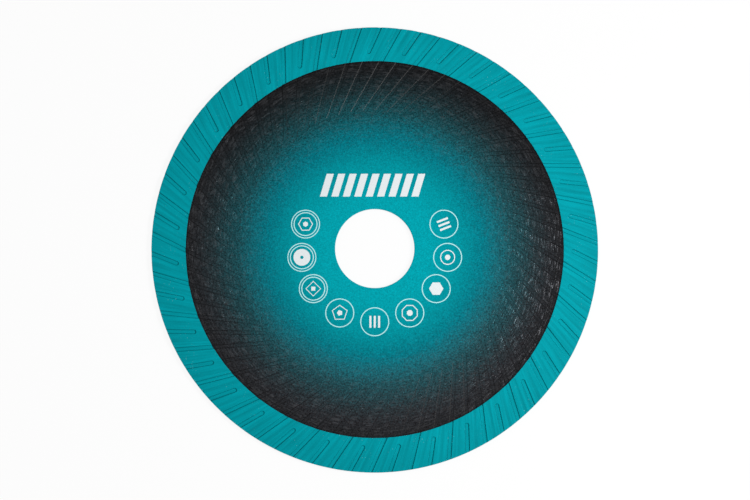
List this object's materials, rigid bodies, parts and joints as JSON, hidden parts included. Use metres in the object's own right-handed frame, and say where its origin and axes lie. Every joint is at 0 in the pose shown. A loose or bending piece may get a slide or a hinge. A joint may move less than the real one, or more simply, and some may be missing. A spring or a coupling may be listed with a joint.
{
  "type": "diamond cutting disc",
  "caption": "Thin round cutting disc for an angle grinder: a flat steel core with an arbor bore and a continuous diamond rim with slanted slots, for tiles and stoneware.",
  "frame": {"origin": "centre of the arbor bore, at half the disc's thickness", "axes": "+Z along the bore's axis, out of the printed front face; the disc lies flat in the XY plane, and +X points to the right of the front face with the row of bars above the bore"},
  "size_m": [0.125, 0.125, 0.0012],
  "materials": {
    "core_print": "satin print over ground steel, teal round the bore and fading to black at the rim",
    "rim_paint": "satin teal paint over a sintered, finely grained rim"
  },
  "bodies": {
    "root": {"steel_core": "core_print", "diamond_rim": "rim_paint"}
  },
  "joints": []
}
